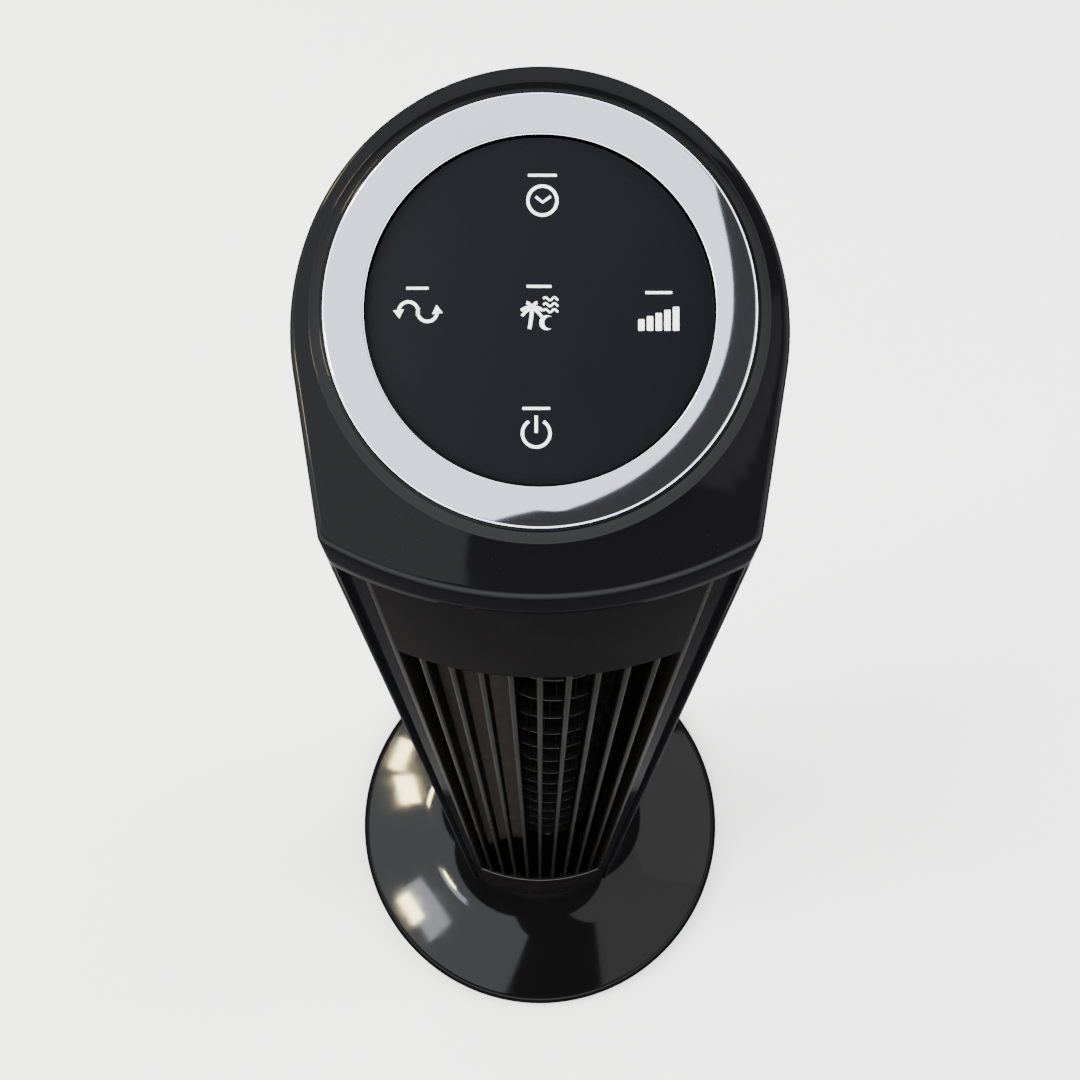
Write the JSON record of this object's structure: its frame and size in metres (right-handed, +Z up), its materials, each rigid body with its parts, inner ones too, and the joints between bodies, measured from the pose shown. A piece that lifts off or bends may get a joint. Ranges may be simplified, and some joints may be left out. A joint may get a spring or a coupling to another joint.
{
  "type": "tower fan",
  "caption": "Slim oscillating tower fan: bow-fronted upright housing with a ribbed outlet, sloped touch-control cap with a bright ring, on a low domed round base.",
  "frame": {"origin": "on the floor under the centre of the round base, which is also the swing axis", "axes": "+Z up along the swing axis, -Y towards the front of the fan (air outlet), +X to the right as seen from the front"},
  "size_m": [0.2608, 0.2607, 0.8119],
  "materials": {
    "gloss_black": "high-gloss black moulded plastic",
    "satin_black": "satin black moulded plastic",
    "duct_grey": "plain dark moulded plastic",
    "wheel_black": "plain black moulded plastic",
    "bright_chrome": "bright plated ring",
    "touch_black": "satin charcoal touch panel",
    "rubber": "black rubber",
    "steel": "zinc-plated steel",
    "motor_alloy": "pressed and sintered metal",
    "copper": "enamelled copper wire",
    "nylon": "natural white acetal",
    "board_green": "green circuit board",
    "board_parts": "moulded electronic parts"
  },
  "bodies": {
    "base": {"base_cover": "gloss_black", "base_bottom_plate": "satin_black", "base_weight": "steel", "rubber_feet": "rubber", "base_screws": "steel", "cord_gland": "satin_black", "pivot_post": "nylon", "thrust_washer": "nylon", "retaining_ring": "steel", "post_screws": "steel", "fixed_gear": "nylon"},
    "tower": {"top_cap": "gloss_black", "side_trim_left": "gloss_black", "side_trim_right": "gloss_black", "rear_shell": "satin_black", "front_grille": "satin_black", "tower_floor": "satin_black", "motor_plate": "satin_black", "upper_plate": "satin_black", "board_holder": "satin_black", "cutoff_wall": "duct_grey", "scroll_wall": "duct_grey", "bright_ring": "bright_chrome", "touch_panel": "touch_black", "bearing_rubber": "rubber", "drive_screws": "steel", "motor_screws": "steel", "shell_screws": "steel", "board_screws": "steel", "drive_bracket": "steel", "swing_motor": "steel", "stator_core": "steel", "touch_springs": "steel", "motor_shell_lower": "motor_alloy", "motor_shell_upper": "motor_alloy", "motor_bearings": "motor_alloy", "upper_bush": "motor_alloy", "stator_windings": "copper", "control_board": "board_green", "power_board": "board_green", "power_parts": "board_parts"},
    "impeller": {"motor_rotor": "steel", "fan_shaft": "steel", "fan_wheel": "wheel_black", "wheel_hub": "wheel_black", "wheel_end_disc": "wheel_black"},
    "pinion": {"drive_pinion": "nylon", "drive_shaft": "steel"}
  },
  "joints": [
    {"name": "oscillation", "type": "hinge", "parent": "base", "child": "tower", "pos_m": [0, 0, 0.04], "axis": [0, 0, 1], "range_deg": [-40, 40]},
    {"name": "fan_spin", "type": "hinge", "parent": "tower", "child": "impeller", "pos_m": [0.005, 0.004, 0.4], "axis": [0, 0, 1], "continuous": true},
    {"name": "pinion_spin", "type": "hinge", "parent": "tower", "child": "pinion", "pos_m": [0.024, 0, 0.05], "axis": [0, 0, 1], "range_deg": [-122, 122]}
  ],
  "couplings": [
    {"joint": "pinion_spin", "follows": "oscillation", "ratio": 3}
  ]
}
